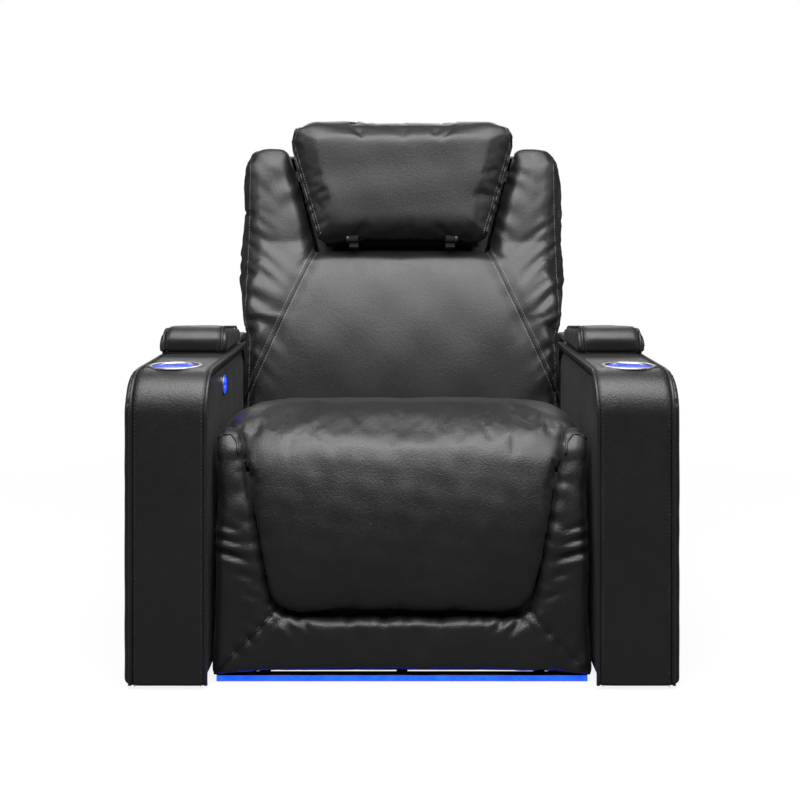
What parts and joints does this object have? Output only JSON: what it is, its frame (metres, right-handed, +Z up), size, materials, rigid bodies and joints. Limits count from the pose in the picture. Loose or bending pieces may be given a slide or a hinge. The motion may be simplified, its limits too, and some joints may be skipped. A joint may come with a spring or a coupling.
{
  "type": "cinema recliner seat",
  "caption": "Powered cinema recliner with box arms, lit cup wells, storage under hinged armrests, a chaise footrest, a reclining winged back and a tilting headrest.",
  "frame": {"origin": "on the floor, under the centre of the bounding box", "axes": "+Z up, -Y the way the seat faces, +X to the right as seen from the front"},
  "size_m": [0.99, 0.9, 1.0567],
  "materials": {
    "black_leather": "satin",
    "black_steel": "satin",
    "plywood": "matte",
    "black_plastic": "satin",
    "stainless": "satin",
    "blue_lens": "gloss",
    "anodised_aluminium": "satin",
    "spring_steel": "satin",
    "nylon_foot": "matte",
    "webbing": "matte"
  },
  "bodies": {
    "base": {"base_cross_rails": "black_steel", "mechanism_side_plates": "black_steel", "footrest_hinge_pins": "black_steel", "shaft_bushes": "black_plastic", "glide_feet": "nylon_foot", "footrest_gear_motor": "black_steel", "recline_gear_motor": "black_steel", "power_supply": "black_plastic", "seat_frame_rails": "black_steel", "seat_frame_bolts": "black_steel", "seat_springs": "spring_steel", "seat_cushion": "black_leather", "rear_base_panel": "plywood", "under_light_channel": "anodised_aluminium", "under_light_strip": "blue_lens", "under_light_stays": "black_steel", "control_bezel": "stainless", "control_light": "blue_lens", "left_arm_frame": "plywood", "left_arm_wrap": "black_leather", "left_arm_inner_pad": "black_leather", "left_arm_outer_pad": "black_leather", "left_cup_holder": "stainless", "left_cup_light": "blue_lens", "left_storage_bin": "black_plastic", "left_lid_hinge_post": "black_steel", "right_arm_frame": "plywood", "right_arm_wrap": "black_leather", "right_arm_inner_pad": "black_leather", "right_arm_outer_pad": "black_leather", "right_cup_holder": "stainless", "right_cup_light": "blue_lens", "right_storage_bin": "black_plastic", "right_lid_hinge_post": "black_steel"},
    "footrest": {"footrest_board": "plywood", "footrest_brackets": "black_steel", "footrest_bolster": "black_leather", "chaise_pad": "black_leather"},
    "drive_crank": {"drive_tube": "black_steel"},
    "push_links": {"push_rods": "black_steel"},
    "back": {"back_frame_tubes": "black_steel", "back_hinge_brackets": "black_steel", "back_webbing": "webbing", "headrest_rest_panel": "black_leather", "back_centre_cushion": "black_leather", "left_back_wing": "black_leather", "right_back_wing": "black_leather", "back_shell": "black_leather", "headrest_brackets": "black_steel"},
    "headrest": {"headrest_pillow": "black_leather", "headrest_frame": "black_steel"},
    "left_lid": {"left_lid_board": "plywood", "left_lid_pad": "black_leather", "left_lid_hinge_leaf": "black_steel"},
    "right_lid": {"right_lid_board": "plywood", "right_lid_pad": "black_leather", "right_lid_hinge_leaf": "black_steel"},
    "recline_button": {"recline_button": "black_plastic"},
    "return_button": {"return_button": "black_plastic"}
  },
  "joints": [
    {"name": "footrest_hinge", "type": "hinge", "parent": "base", "child": "footrest", "pos_m": [0, -0.37, 0.395], "axis": [-1, 0, 0], "range_deg": [0, 88]},
    {"name": "drive_crank_turn", "type": "hinge", "parent": "base", "child": "drive_crank", "pos_m": [0, -0.13, 0.2], "axis": [-1, 0, 0], "range_deg": [0, 88]},
    {"name": "push_link_pivot", "type": "hinge", "parent": "drive_crank", "child": "push_links", "pos_m": [0, -0.0975, 0.14371], "axis": [-1, 0, 0], "range_deg": [-88, 0]},
    {"name": "back_recline", "type": "hinge", "parent": "base", "child": "back", "pos_m": [0, 0.20444, 0.25], "axis": [-1, 0, 0], "range_deg": [0, 35]},
    {"name": "headrest_tilt", "type": "hinge", "parent": "back", "child": "headrest", "pos_m": [0, 0.15949, 0.78402], "axis": [1, 0, 0], "range_deg": [0, 35]},
    {"name": "left_lid_hinge", "type": "hinge", "parent": "base", "child": "left_lid", "pos_m": [-0.4205, 0.045, 0.5645], "axis": [-1, 0, 0], "range_deg": [0, 75]},
    {"name": "right_lid_hinge", "type": "hinge", "parent": "base", "child": "right_lid", "pos_m": [0.4205, 0.045, 0.5645], "axis": [-1, 0, 0], "range_deg": [0, 75]},
    {"name": "recline_button_press", "type": "slide", "parent": "base", "child": "recline_button", "axis": [-1, 0, 0], "range_m": [0, 0.0015], "stiffness_N_per_m": 400},
    {"name": "return_button_press", "type": "slide", "parent": "base", "child": "return_button", "axis": [-1, 0, 0], "range_m": [0, 0.0015], "stiffness_N_per_m": 400}
  ],
  "couplings": [
    {"joint": "drive_crank_turn", "follows": "footrest_hinge", "ratio": 1},
    {"joint": "push_link_pivot", "follows": "footrest_hinge", "ratio": -1}
  ]
}
